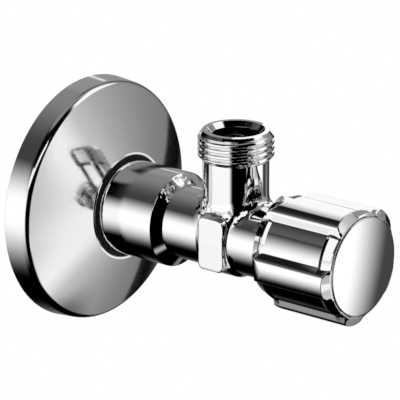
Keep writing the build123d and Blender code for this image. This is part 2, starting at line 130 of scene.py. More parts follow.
class BodySizes(bpy.types.PropertyGroup):
    """Sizes of the forged valve body."""
    inlet_end: length("Inlet end", "How far the inlet thread reaches behind the wall", -BODY_LOW.x/MM)
    inlet_thread: length("Inlet thread", "Crest diameter of the inlet thread", 20.955)
    inlet_bore: length("Inlet bore", "Bore of the inlet", 12.4)
    runout: length("Runout", "Width of the groove behind the inlet thread", 1.5)
    runout_diameter: length("Runout diameter", "Diameter in the groove", 18.6)
    spigot: length("Spigot", "Diameter of the polished spigot", BODY_HIGH.y*2/MM)
    spigot_end: length("Spigot end", "Where the spigot's shoulder starts", 27.2)
    shoulder: length("Shoulder", "Length of the sloped shoulder", 1.7)
    shoulder_round: length("Shoulder round", "Round of the spigot's edge", 0.35)
    tube: length("Tube", "Diameter of the tube", 16.5)
    end: length("Body end", "Where the tube ends", BODY_HIGH.x/MM)
    chamber: length("Chamber", "Bore of the valve chamber", 13.2)
    block: length("Block", "Diameter of the forged block", 18.1)
    block_start: length("Block start", "Where the block starts", 38.2)
    block_end: length("Block end", "Where the block ends", 47.2)
    pad_place: length("Pad place", "Centre of the marking pads along the axis", 43.1)
    pad_length: length("Pad length", "Length of a marking pad along the axis", 6.8)
    pad_top: length("Pad top", "Upper edge of the marking pads", 5.7)
    pad_bottom: length("Pad bottom", "Lower edge of the marking pads", -6.1)
    pad_span: length("Pad span", "Across the two marking pads", 18.6)
    pad_corner: length("Pad corner", "Corner round of the marking pads", 1.3)
    outlet_place: length("Outlet place", "Outlet's axis along the valve", 42.9)
    outlet_top: length("Outlet top", "Height of the outlet's mouth", BODY_HIGH.z/MM)
    outlet_thread: length("Outlet thread", "Crest diameter of the outlet thread", 16.662)
    outlet_thread_length: length("Outlet thread length", "Length of the outlet thread", 6.65)
    outlet_foot: length("Outlet foot", "Chamfer at the foot of the outlet thread", 0.95)
    lead_in: length("Lead-in", "Depth of the chamfer at the mouth of the outlet thread", 1.1)
    lead_in_length: length("Lead-in length", "Length of the chamfer at the mouth of the outlet thread", 1.5)
    neck: length("Neck", "Diameter of the outlet's neck", 14.5)
    pipe_socket: length("Pipe socket", "Bore that takes the pipe", 10.6)
    pipe_stop: length("Pipe stop", "Height of the pipe's stop", 11.0)
    outlet_bore: length("Outlet bore", "Bore below the pipe's stop", 8.6)
    lip: length("Outlet lip", "Across the coned lip", 12.6)
    lip_depth: length("Lip depth", "Depth of the coned lip", 1.2)
    thread_depth_inlet: length("Inlet thread depth", "Depth of the inlet thread", 1.16)
    thread_pitch_inlet: length("Inlet thread pitch", "Pitch of the inlet thread", 1.814)
    thread_depth_outlet: length("Outlet thread depth", "Depth of the outlet thread", 0.72)
    thread_pitch_outlet: length("Outlet thread pitch", "Pitch of the outlet thread", 1.337)
    thread_start_outlet: length("Outlet thread start", "Height where the outlet's groove starts", 0.51)
    cast_depth: length("Cast depth", "Height of the forged skin's bumps", 0.055)


class GripSizes(bpy.types.PropertyGroup):
    """Sizes of the lobed handle grip and its cap."""
    rear: length("Rear", "Where the grip starts", GRIP_LOW.x/MM)
    front: length("Front", "Where the grip ends", GRIP_HIGH.x/MM)
    diameter: length("Diameter", "Across the lobes", 26.72)
    lobes: bpy.props.IntProperty(name="Lobes", description="How many lobes stand round the grip", default=5)
    first_lobe: swing("First lobe", "Angle of the first lobe from the top, towards the near side", 25.3)
    top_half: swing("Lobe top", "Half angle of a lobe at its top", 11.6)
    foot_half: swing("Lobe foot", "Half angle of a lobe at its foot", 17.6)
    crown: length("Crown", "Radius of a lobe's crowned top", 6.5)
    lobe_round: length("Lobe round", "Round of a lobe's edges", 1.2)
    foot_round: length("Foot round", "Hollow round at a lobe's foot", 0.35)
    lobe_setback: length("Lobe setback", "From the grip's rear to the lobes", 1.5)
    lobe_length: length("Lobe length", "Length of the lobes up to the front cone", 18.65)
    lobe_run: length("Lobe run", "Length over which the lobes round off at their rear", 2.8)
    lobe_drop: length("Lobe drop", "How far the lobes round off at their rear", 0.6)
    rear_diameter: length("Rear diameter", "Across the grip's rear", 21.8)
    floor: length("Floor", "Across the recess floors", 22.9)
    ring: length("Rear ring", "Across the raised ring behind the recess floors", 23.5)
    ring_length: length("Ring length", "From the grip's rear to the top of that ring", 2.4)
    ring_slope: length("Ring slope", "Length of the slope from that ring to the floor", 0.8)
    floor_end: length("Floor end", "From the grip's rear to the end of the level floor", 17.9)
    step: length("Step", "Length of the step from the floor to the front collar", 1.0)
    collar: length("Collar", "Across the front collar behind the cap", 23.62)
    collar_fall: length("Collar fall", "How far the collar falls towards the cap", 0.45)
    mouth: length("Mouth", "Opening for the cap", 22.6)
    skirt_bore: length("Skirt bore", "Bore of the skirt", 19.8)
    skirt_depth: length("Skirt depth", "Depth of the skirt", 13.0)
    hub: length("Hub", "Diameter of the hub", 13.0)
    hub_length: length("Hub length", "Length of the hub", 2.6)
    hub_bore: length("Hub bore", "Bore of the hub", 10.0)
    web: length("Web", "Thickness of the web", 2.8)
    pocket: length("Pocket", "Pocket behind the cap", 19.2)
    cap_seat: length("Cap seat", "Depth of the cap's seat", 1.8)
    cap: length("Cap", "Diameter of the cap", 21.84)
    cap_dome: length("Cap dome", "Rise of the cap's middle", 0.35)
    cap_round: length("Cap round", "Round of the cap's edge", 0.3)
    cap_skirt: length("Cap skirt", "Length of the cap's snap ring", 1.8)
    cap_skirt_wall: length("Cap skirt wall", "Thickness of the snap ring", 0.7)


class Finishes(bpy.types.PropertyGroup):
    """Colours and textures of the valve's finishes."""
    chrome: colour("Chrome", "Colour of the polished plating", (0.9, 0.9, 0.9))
    chrome_roughness: share("Chrome roughness", "Roughness of the polished plating", 0.035)
    rosette_roughness: share("Rosette roughness", "Roughness of the spun rosette's plating", 0.085)
    brass: colour("Brass", "Colour of the turned brass", (0.71, 0.49, 0.2))
    nickel: colour("Nickel", "Colour of the plated bonnet", (0.5, 0.49, 0.47))
    steel: colour("Steel", "Colour of the plain steel", (0.5, 0.5, 0.51))
    rubber: colour("Rubber", "Colour of the rubber", (0.012, 0.012, 0.013))
    fibre: colour("Fibre", "Colour of the fibre gasket", (0.36, 0.09, 0.06))
    plastic: colour("Plastic", "Colour of the moulded plastic", (0.72, 0.7, 0.62))


class StageLevels(bpy.types.PropertyGroup):
    """Levels of the studio's light panels, where 1 is white."""
    side: share("Side panel", "Level of the panel at the camera's left", 1.12, 4.0)
    front: share("Front wall", "Level of the wall in front of the handle", 1.05, 4.0)
    spot: share("Front spot", "Level of the bright patch that the cap sees", 1.25, 4.0)
    low_lamp: share("Low lamp", "Level of the lamp that the lobes' front slopes mirror", 1.0, 4.0)
    gap: share("Front gap", "How much of the front wall the gap beside the spot takes away", 0.8)
    overhead: share("Overhead", "Level above and behind the valve", 0.24, 4.0)
    back: share("Back wall", "Level of the wall behind", 0.3, 4.0)
    ceiling: share("Ceiling", "Level straight above", 0.25, 4.0)
    rear_lamp: share("Rear lamp", "Level of the lamp that the outlet's rim mirrors", 0.9, 4.0)
    card: share("Cards", "Level of the white cards round the handle", 1.05, 4.0)
    card_dark: share("Dark card", "Level of the dark end of the card behind the handle", 0.11)


def millimetres(group):
    """The lengths of a property group in millimetres, with angles and counts as they are."""
    values = {}
    for name in group.bl_rna.properties.keys():
        if name in ("rna_type", "name"):
            continue
        value = getattr(group, name)
        values[name] = value/MM if group.bl_rna.properties[name].unit == "LENGTH" else value
    return type("Sizes", (), values)


def rounded(corners, closed=True):
    """Outline through corners given as (place, radius, edge round), each round drawn as an arc.

    A short straight stretch is kept beside each arc, so that smooth shading stays true on the flats.
    """
    count = len(corners)
    points = []
    for index, corner in enumerate(corners):
        here = np.array(corner[:2], float)
        edge_round = corner[2] if len(corner) > 2 else 0.0
        if edge_round == 0 or (not closed and index in (0, count - 1)):
            points.append(here)
            continue
        back = np.array(corners[index - 1][:2], float) - here
        ahead = np.array(corners[(index + 1) % count][:2], float) - here
        back /= np.linalg.norm(back)
        ahead /= np.linalg.norm(ahead)
        opening = math.acos(float(np.clip(back @ ahead, -1, 1)))
        reach = edge_round/math.tan(opening/2)
        middle = (back + ahead)/np.linalg.norm(back + ahead)
        centre = here + middle*edge_round/math.sin(opening/2)
        start = here + back*reach - centre
        finish = here + ahead*reach - centre
        sweep = math.pi - opening
        steps = max(3, math.ceil(sweep/ROUND_STEP))
        points.append(here + back*(reach + HOLD))
        for step in range(steps + 1):
            part = step/steps
            arm = (start*math.sin((1 - part)*sweep) + finish*math.sin(part*sweep))/math.sin(sweep)
            points.append(centre + arm)
        points.append(here + ahead*(reach + HOLD))
    return np.array(points)


def stepped(start, end, steps):
    """Corners at equal steps from a start up to an end that is left out."""
    return [tuple(np.add(start, np.subtract(end, start)*step/steps)) for step in range(steps)]


def mesh_object(name, vertices, faces):
    """A smooth object from vertices in millimetres, with doubles merged and faces turned outwards."""
    mesh = bpy.data.meshes.new(name)
    mesh.from_pydata((np.asarray(vertices)*MM).tolist(), [], faces)
    shape = bmesh.new()
    shape.from_mesh(mesh)
    bmesh.ops.remove_doubles(shape, verts=shape.verts, dist=1e-7)
    bmesh.ops.recalc_face_normals(shape, faces=shape.faces)
    shape.to_mesh(mesh)
    shape.free()
    mesh.shade_smooth()
    mesh.set_sharp_from_angle(angle=SHARP)
    piece = bpy.data.objects.new(name, mesh)
    bpy.context.scene.collection.objects.link(piece)
    return piece


def grid_faces(rows, columns, wrap_rows):
    """Quads of rows that close round their columns, and from the last row to the first if asked."""
    faces = []
    for row in range(rows if wrap_rows else rows - 1):
        ahead = (row + 1) % rows
        for column in range(columns):
            beside = (column + 1) % columns
            faces.append((
                row*columns + column, row*columns + beside, ahead*columns + beside, ahead*columns + column))
    return faces


def turned(profile, segments, along="X", centre=0.0, closed=True):
    """Vertices and faces of a profile of (place, radius) turned about the X axis or a line along Z."""
    profile = np.asarray(profile, float)
    angles = np.arange(segments)*2*math.pi/segments
    place = np.repeat(profile[:, 0], segments)
    radius = np.repeat(profile[:, 1], segments)
    angle = np.tile(angles, len(profile))
    if along == "X":
        vertices = np.stack([place, -radius*np.sin(angle), radius*np.cos(angle)], -1)
    else:
        vertices = np.stack([centre + radius*np.cos(angle), radius*np.sin(angle), place], -1)
    return vertices, grid_faces(len(profile), segments, closed)


def ring_at(place, radius, angle):
    """Points round the X axis at one place, with a radius for each angle from the top to the near side."""
    return np.stack([np.full_like(radius, place), -radius*np.sin(angle), radius*np.cos(angle)], -1)


class NodeSheet:
    """Short calls for filling a node tree."""

    def __init__(self, tree):
        self.tree = tree

    def feed(self, socket, value):
        """Link an output, or set a plain value."""
        if isinstance(value, bpy.types.NodeSocket):
            self.tree.links.new(value, socket)
        elif value is not None:
            socket.default_value = value

    def add(self, kind, inputs=None, **settings):
        """A new node with its own settings, and with values or links on its inputs."""
        node = self.tree.nodes.new(kind)
        for name, value in settings.items():
            setattr(node, name, value)
        for name, value in (inputs or {}).items():
            self.feed(node.inputs[name], value)
        return node

    def math(self, operation, *values):
        """Result of a math node."""
        return self.add("ShaderNodeMath", dict(enumerate(values)), operation=operation).outputs[0]

    def chain(self, operation, first, *others):
        """Result of one math operation on a value and each other value in turn."""
        for other in others:
            first = self.math(operation, first, other)
        return first

    def fade(self, value, start, end, low=0.0, high=1.0):
        """Smooth change from low to high as a value goes from start to end."""
        values = {"Value": value, "From Min": start, "From Max": end, "To Min": low, "To Max": high}
        return self.add("ShaderNodeMapRange", values, interpolation_type="SMOOTHSTEP").outputs["Result"]

    def place(self):
        """Where a point lies on its object."""
        return self.add("ShaderNodeTexCoord").outputs["Object"]

    def split(self, vector):
        """The three parts of a vector."""
        return self.add("ShaderNodeSeparateXYZ", {0: vector}).outputs

    def noise(self, place, scale, detail=None):
        """Level of a noise texture."""
        values = {"Vector": place, "Scale": scale, "Detail": detail}
        return self.add("ShaderNodeTexNoise", values).outputs["Fac"]

    def rings(self, place, scale, distortion):
        """Level of fine bands along the valve's axis."""
        values = {"Vector": place, "Scale": scale, "Distortion": distortion}
        return self.add("ShaderNodeTexWave", values, bands_direction="X").outputs["Fac"]

    def bump(self, height, distance, strength, normal=None):
        """Normal bent by a height."""
        values = {"Height": height, "Distance": distance, "Strength": strength, "Normal": normal}
        return self.add("ShaderNodeBump", values).outputs["Normal"]

    def tinted(self, level, tint, low, high):
        """Colour from a darker to a lighter shade of a tint."""
        ramp = self.add("ShaderNodeValToRGB", {"Fac": level})
        for stop, gain in zip(ramp.color_ramp.elements, (low, high)):
            stop.color = (*[min(1.0, channel*gain) for channel in tint], 1.0)
        return ramp.outputs["Color"]

    def mixed(self, part, first, second):
        """Two shaders mixed."""
        return self.add("ShaderNodeMixShader", {0: part, 1: first, 2: second}).outputs[0]

    def surface(self, shader):
        """Wire a shader to the material's surface."""
        self.add("ShaderNodeOutputMaterial", {"Surface": shader})

    def principled(self, inputs):
        """Make a principled shader the material's surface."""
        self.surface(self.add("ShaderNodeBsdfPrincipled", inputs).outputs["BSDF"])


def fresh_material(name):
    """A node material without nodes, and the sheet that fills it."""
    material = bpy.data.materials.new(name)
    material.use_nodes = True
    material.node_tree.nodes.clear()
    return material, NodeSheet(material.node_tree)


def spigot_marks(sheet, place):
    """Normal with turning marks on the spigot and a forged skin on the top of its shoulder."""
    edge = bpy.context.scene.valve_body.spigot_end
    x, _, z = sheet.split(place)
    marks = sheet.bump(
        sheet.rings(place, 900.0, 1.5), 0.00005, sheet.fade(x, edge, edge - 0.0004, 0.0, 0.03))
    skin = sheet.chain(
        "MULTIPLY", sheet.fade(x, edge, edge + 0.0003), sheet.fade(z, 0.0045, 0.0065), 0.9)
    return sheet.bump(sheet.noise(place, 420.0, 1.5), 0.0009, skin, marks)


def forged_marks(sheet, place):
    """Normal with a fine grain where the mesh says that the forged skin shows."""
    skin = sheet.add("ShaderNodeAttribute", attribute_name="cast").outputs["Fac"]
    return sheet.bump(sheet.noise(place, 900.0, 2.0), 0.00018, sheet.math("MULTIPLY", skin, 0.5))


def chrome(name, marks=None, roughness=None):
    """Polished plating with faint haze, and with the marks that a function draws on it."""
    finishes = bpy.context.scene.valve_finishes
    material, sheet = fresh_material(name)
    place = sheet.place()
    level = roughness or finishes.chrome_roughness
    sheet.principled({
        "Metallic": 1.0,
        "Base Color": (*finishes.chrome, 1.0),
        "Roughness": sheet.fade(sheet.noise(place, 900.0, 3.0), 0.3, 0.7, level*0.8, level*1.3),
        "Normal": marks(sheet, place) if marks else None,
    })
    return material


def turned_metal(name, tint, roughness):
    """Bare metal with fine turning lines round the valve's axis."""
    material, sheet = fresh_material(name)
    place = sheet.place()
    blotch = sheet.noise(place, 300.0)
    sheet.principled({
        "Metallic": 1.0,
        "Base Color": sheet.tinted(blotch, tint, 0.85, 1.1),
        "Roughness": sheet.fade(blotch, 0.2, 0.8, roughness*0.8, roughness*1.2),
        "Normal": sheet.bump(sheet.rings(place, 1400.0, 2.0), 0.00005, 0.12),
    })
    return material


def soft_finish(name, tint, roughness, grain_scale, grain_depth):
    """Matt rubber, fibre or plastic with a fine grain."""
    material, sheet = fresh_material(name)
    grain = sheet.noise(sheet.place(), grain_scale, 4.0)
    sheet.principled({
        "Base Color": sheet.tinted(grain, tint, 0.8, 1.2),
        "Specular IOR Level": 0.25,
        "Roughness": sheet.fade(grain, 0.2, 0.8, roughness*0.85, roughness),
        "Normal": sheet.bump(grain, grain_depth, 0.3),
    })
    return material


def coat(piece, material):
    """Give a piece one material."""
    piece.data.materials.clear()
    piece.data.materials.append(material)


def dress(piece, material, body, slot, *nodes):
    """Give a finished piece its material and its body, and hide the nodes that it stands for; the slot is
    not used.
    """
    coat(piece, material)
    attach(piece, body)
    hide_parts(*nodes)


def thread_tree():
    """Geometry Nodes tree that cuts a rounded helical groove into a turned blank."""
    tree = bpy.data.node_groups.new("helical_thread", "GeometryNodeTree")
    tree.interface.new_socket("Geometry", in_out="OUTPUT", socket_type="NodeSocketGeometry")
    tree.interface.new_socket("Geometry", in_out="INPUT", socket_type="NodeSocketGeometry")
    for name in ("Pitch", "Depth", "Crest", "Centre", "Start", "End"):
        tree.interface.new_socket(name, in_out="INPUT", socket_type="NodeSocketFloat")
    tree.interface.new_socket("Finish", in_out="INPUT", socket_type="NodeSocketMaterial")
    sheet = NodeSheet(tree)
    entry = sheet.add("NodeGroupInput").outputs
    x, y, z = sheet.split(sheet.add("GeometryNodeInputPosition").outputs[0])
    across = sheet.math("SUBTRACT", x, entry["Centre"])
    turn = sheet.math("DIVIDE", sheet.math("ARCTAN2", y, across), 2*math.pi)
    climb = sheet.math("DIVIDE", sheet.math("SUBTRACT", z, entry["Start"]), entry["Pitch"])
    phase = sheet.math("FRACT", sheet.math("SUBTRACT", climb, turn))
    groove = sheet.fade(sheet.math("ABSOLUTE", sheet.math("SUBTRACT", phase, 0.5)), 0.19, 0.5)
    squares = sheet.math("ADD", sheet.math("MULTIPLY", across, across), sheet.math("MULTIPLY", y, y))
    radius = sheet.math("SQRT", squares)
    level = sheet.math("SUBTRACT", entry["Crest"], sheet.math("MULTIPLY", groove, entry["Depth"]))
    sink = sheet.math("MINIMUM", sheet.math("SUBTRACT", level, radius), 0.0)
    sink = sheet.math("MULTIPLY", sink, sheet.math("LESS_THAN", z, entry["End"]))
    away = sheet.add("ShaderNodeCombineXYZ", {
        "X": sheet.math("DIVIDE", across, radius), "Y": sheet.math("DIVIDE", y, radius)})
    move = sheet.add("ShaderNodeVectorMath", {0: away.outputs[0], "Scale": sink}, operation="SCALE")
    shift = sheet.add("GeometryNodeSetPosition", {"Geometry": entry["Geometry"], "Offset": move.outputs[0]})
    realize = sheet.add("GeometryNodeRealizeInstances", {0: shift.outputs[0]})
    paint = sheet.add("GeometryNodeSetMaterial", {
        "Geometry": realize.outputs[0], "Material": entry["Finish"]})
    sheet.add("NodeGroupOutput", {0: paint.outputs[0]})
    return tree


def cut_thread(piece, values):
    """Run the thread tree on a blank that stands along Z, and keep the result as a plain mesh."""
    tree = bpy.data.node_groups.get("helical_thread") or thread_tree()
    modifier = piece.modifiers.new("thread", "NODES")
    modifier.node_group = tree
    for item in tree.interface.items_tree:
        if item.in_out == "INPUT" and item.name in values:
            modifier[item.identifier] = values[item.name]
    bpy.context.view_layer.update()
    evaluated = piece.evaluated_get(bpy.context.evaluated_depsgraph_get())
    mesh = bpy.data.meshes.new_from_object(evaluated)
    piece.modifiers.remove(modifier)
    piece.data = mesh
    mesh.name = piece.name


def lay_along_axis(piece):
    """Turn a blank that stands along Z onto the valve's axis, so that its Z becomes X."""
    piece.data.transform(Matrix(((0, 0, 1, 0), (0, 1, 0, 0), (-1, 0, 0, 0), (0, 0, 0, 1))))


def smooth_min(a, b, blend):
    """Smaller of two distances, rounded where they are close."""
    near = np.clip(0.5 + 0.5*(b - a)/blend, 0, 1)
    return b + (a - b)*near - blend*near*(1 - near)


def smooth_max(a, b, blend):
    """Larger of two distances, rounded where they are close."""
    return -smooth_min(-a, -b, blend)


class ForgedBody:
    """Distance field of the forged middle of the valve body, in millimetres."""

    def __init__(self, sizes, start):
        self.sizes = sizes
        self.start = start
        self.top = sizes.outlet_top - sizes.outlet_thread_length + 0.4
        waves = np.random.default_rng(7)
        directions = waves.normal(size=(18, 3))
        directions /= np.linalg.norm(directions, axis=1)[:, None]
        self.waves = directions*(2*math.pi/waves.uniform(1.1, 2.6, 18))[:, None]
        self.phases = waves.uniform(0, 2*math.pi, 18)

    def bumps(self, p):
        """Seeded lumps of a forged skin."""
        total = np.zeros(p.shape[:-1])
        for wave, phase in zip(self.waves, self.phases):
            total += np.sin(p @ wave + phase)
        return total/math.sqrt(len(self.phases))

    def parts(self, p):
        """Distances to the neck and to the tube with its block and pads."""
        s = self.sizes
        x, y, z = p[..., 0], p[..., 1], p[..., 2]
        around = np.hypot(y, z)
        neck = np.hypot(x - s.outlet_place, y) - s.neck/2
        neck = np.maximum(neck, -z)
        tube = around - s.tube/2
        middle = (s.block_start + s.block_end)/2
        half = (s.block_end - s.block_start)/2
        block = smooth_max(around - s.block/2, np.abs(x - middle) - half + 0.45, 0.9)
        side = np.abs(x - s.pad_place) - s.pad_length/2 + s.pad_corner
        rise = np.abs(z - (s.pad_top + s.pad_bottom)/2) - (s.pad_top - s.pad_bottom)/2 + s.pad_corner
        plan = np.hypot(np.maximum(side, 0), np.maximum(rise, 0))
        plan = plan + np.minimum(np.maximum(side, rise), 0) - s.pad_corner
        pad = smooth_max(plan, np.abs(y) - s.pad_span/2, 0.35)
        return neck, tube, block, pad

    def cast(self, p):
        """Where the forged skin shows: 1 in the hollow round the outlet's foot, 0 on the polished walls."""
        neck, tube, block, _ = self.parts(p)
        core = np.minimum(tube, block)
        foot = np.clip(1.7 - np.maximum(np.abs(neck), np.abs(core)), 0, 1)
        return foot*foot*(3 - 2*foot)

    def __call__(self, p):
        s = self.sizes
        neck, tube, block, pad = self.parts(p)
        x, y, z = p[..., 0], p[..., 1], p[..., 2]
        core = smooth_min(tube, block, 0.5)
        core = smooth_min(core, pad, 0.35)
        solid = smooth_min(core, neck, 2.2)
        solid = solid - s.cast_depth*self.cast(p)*self.bumps(p)
        around = np.hypot(y, z)
        beside = np.hypot(x - s.outlet_place, y)
        bore = np.minimum(around - s.chamber/2, np.maximum(beside - s.outlet_bore/2, -z))
        bore = np.minimum(bore, np.maximum(beside - s.pipe_socket/2, s.pipe_stop - z))
        solid = np.maximum(solid, -bore)
        solid = np.maximum(solid, self.start - x)
        solid = np.maximum(solid, x - s.end)
        return np.maximum(solid, z - self.top)


def cells_beside(edges, axis, first, second):
    """Cells that share the grid's edges along an axis, one step down or not along each other axis."""
    cells = edges.copy()
    near, far = [other for other in range(3) if other != axis]
    cells[:, near] -= first
    cells[:, far] -= second
    return cells


def surface_net(field, low, high, step):
    """Vertices and quads close to the zero level of a distance field."""
    axes = [np.arange(a - 2*step, b + 3*step, step) for a, b in zip(low, high)]
    values = np.empty([len(axis) for axis in axes])
    for index, x in enumerate(axes[0]):
        plane = np.stack(np.meshgrid([x], axes[1], axes[2], indexing="ij"), -1)
        values[index] = field(plane)[0]
    inside = values < 0
    size = np.array(values.shape) - 1
    total = np.zeros((*size, 3))
    count = np.zeros(size)
    around = ((0, 0), (1, 0), (1, 1), (0, 1))
    crossings = []
    for axis in range(3):
        head = [slice(None)]*3
        tail = [slice(None)]*3
        head[axis] = slice(0, -1)
        tail[axis] = slice(1, None)
        a, b = values[tuple(head)], values[tuple(tail)]
        crossed = inside[tuple(head)] != inside[tuple(tail)]
        edges = np.argwhere(crossed)
        spot = edges.astype(float)
        spot[:, axis] += a[crossed]/(a[crossed] - b[crossed])
        crossings.append((axis, edges))
        for first, second in around:
            cells = cells_beside(edges, axis, first, second)
            good = np.all((cells >= 0) & (cells < size), axis=1)
            where = tuple(cells[good].T)
            np.add.at(total, where, spot[good])
            np.add.at(count, where, 1)
    used = np.argwhere(count > 0)
    number = -np.ones(size, int)
    number[tuple(used.T)] = np.arange(len(used))
    corner = np.array([axis[0] for axis in axes])
    points = total[tuple(used.T)]/count[tuple(used.T)][:, None]*step + corner
    quads = []
    for axis, edges in crossings:
        ring = [number[tuple(cells_beside(edges, axis, *offset).T)] for offset in around]
        quads.append(np.stack(ring, -1))
    return points, np.concatenate(quads)


def slope(field, points, reach):
    """Gradient of a field by central differences."""
    parts = []
    for axis in range(3):
        offset = np.zeros(3)
        offset[axis] = reach
        parts.append((field(points + offset) - field(points - offset))/(2*reach))
    return np.stack(parts, -1)


def pull_onto(field, points, rounds=3):
    """Move points along the gradient onto the field's zero level."""
    for _ in range(rounds):
        gradient = slope(field, points, 0.02)
        size = np.maximum((gradient**2).sum(-1), 0.25)
        points = points - gradient*(field(points)/size)[:, None]
    return points


class VALVE_OT_rosette(bpy.types.Operator):
    """Spin the wall rosette from its sheet profile"""
    bl_idname = "valve.rosette"
    bl_label = "Wall rosette"

    def execute(self, context):
        s = millimetres(context.scene.valve_rosette)
        rim = s.diameter/2
        lip = s.lip_diameter/2
        inner = rim - s.wall
        slant = math.atan2(s.depth - s.side, rim - lip)
        shift = s.wall/math.cos(slant)
        corner = s.side - shift + s.wall*math.tan(slant)
        collar = lip - s.collar_wall
        brim = np.array([s.side + s.draft*math.tan(slant), rim - s.draft])
        mouth = np.array([s.depth, lip])
        bulge = np.array([math.cos(slant), math.sin(slant)])*s.dome
        cone = [
            tuple(brim + (mouth - brim)*part + bulge*4*part*(1 - part))
            for part in np.linspace(0.15, 0.96, 14)
        ]
        profile = rounded([
            (0, rim, 0.12),
            (*brim, s.edge_round),
            *cone,
            (*mouth, s.lip_round),
            (s.depth, collar, s.lip_round),
            (s.depth - s.collar_length, collar, 0.1),
            (s.depth - s.collar_length, lip - 0.001, 0.1),
            (s.depth - shift, lip, 0.2),
            (corner - 0.5, inner - 0.3, 0.2),
            (corner - 1.2, inner, 0.4),
            (0, inner, 0.12),
        ])
        piece = mesh_object("rosette_sheet", *turned(profile, ROSETTE_SEGMENTS))
        finish = chrome("rosette_chrome", roughness=context.scene.valve_finishes.rosette_roughness)
        dress(piece, finish, "wall_rosette", "chrome", "rosette")
        return {"FINISHED"}


class VALVE_OT_spigot(bpy.types.Operator):
    """Turn the polished spigot with its inlet thread and sloped shoulder"""
    bl_idname = "valve.spigot"
    bl_label = "Spigot and inlet"

    def execute(self, context):
        s = millimetres(context.scene.valve_body)
        thread = s.inlet_thread/2
        hidden = s.spigot_end + s.shoulder
        profile = rounded([
            (-s.inlet_end, s.inlet_bore/2, 0.1),
            *stepped((-s.inlet_end, thread - 0.9), (0.9 - s.inlet_end, thread), 8),
            *stepped((0.9 - s.inlet_end, thread), (0, thread), round(12*s.inlet_end/s.thread_pitch_inlet)),
            (0.02, s.runout_diameter/2),
            (s.runout, s.runout_diameter/2),
            (s.runout, s.spigot/2, 0.2),
            (s.spigot_end, s.spigot/2, s.shoulder_round),
            (hidden + 0.2, s.tube/2 - 0.28, 0.05),
            (hidden + 0.2, s.inlet_bore/2),
        ])
        piece = mesh_object("polished_spigot", *turned(profile, SPIGOT_SEGMENTS, along="Z"))
        finish = chrome("spigot_chrome", marks=spigot_marks)
        cut_thread(piece, {
            "Pitch": s.thread_pitch_inlet*MM, "Depth": s.thread_depth_inlet*MM, "Crest": thread*MM,
            "Centre": 0.0, "Start": 0.0, "End": s.runout*MM/2, "Finish": finish})
        lay_along_axis(piece)
        dress(piece, finish, "valve", "chrome", "valve_body")
        return {"FINISHED"}


class VALVE_OT_forging(bpy.types.Operator):
    """Form the forged middle: tube, block, marking pads and the outlet's neck"""
    bl_idname = "valve.forging"
    bl_label = "Forged middle"

    def execute(self, context):
        s = millimetres(context.scene.valve_body)
        field = ForgedBody(s, s.spigot_end + s.shoulder - 0.6)
        reach = s.pad_span/2
        points, quads = surface_net(
            field, (field.start, -reach, -reach), (s.end, reach, field.top), NET_STEP)
        points = pull_onto(field, points)
        piece = mesh_object("forged_middle", points, quads.tolist())
        mesh = piece.data
        spots = np.empty(len(mesh.vertices)*3)
        mesh.vertices.foreach_get("co", spots)
        spots = spots.reshape(-1, 3)/MM
        skin = mesh.attributes.new("cast", "FLOAT", "POINT")
        skin.data.foreach_set("value", field.cast(spots))
        dress(piece, chrome("forged_chrome", marks=forged_marks), "valve", "chrome", "valve_body")
        return {"FINISHED"}


class VALVE_OT_outlet(bpy.types.Operator):
    """Turn the outlet's threaded end with its coned lip"""
    bl_idname = "valve.outlet"
    bl_label = "Threaded outlet"

    def execute(self, context):
        s = millimetres(context.scene.valve_body)
        crest = s.outlet_thread/2
        foot = s.outlet_top - s.outlet_thread_length
        low = foot + s.outlet_foot
        high = s.outlet_top - s.lead_in_length
        profile = rounded([
            (foot + 0.4, s.pipe_socket/2),
            *stepped((foot, crest - s.outlet_foot), (low, crest), 10),
            *stepped((low, crest), (high, crest), round(18*(high - low)/s.thread_pitch_outlet)),
            *stepped((high, crest), (s.outlet_top, crest - s.lead_in), 18),
            (s.outlet_top, s.lip/2, 0.1),
            (s.outlet_top - s.lip_depth, s.pipe_socket/2, 0.1),
        ])
        blank = turned(profile, OUTLET_SEGMENTS, along="Z", centre=s.outlet_place)
        piece = mesh_object("outlet_thread", *blank)
        finish = chrome("outlet_chrome")
        cut_thread(piece, {
            "Pitch": s.thread_pitch_outlet*MM, "Depth": s.thread_depth_outlet*MM, "Crest": crest*MM,
            "Centre": s.outlet_place*MM, "Start": s.thread_start_outlet*MM, "End": (s.outlet_top + 1)*MM,
            "Finish": finish})
        dress(piece, finish, "valve", "chrome", "valve_body")
        return {"FINISHED"}


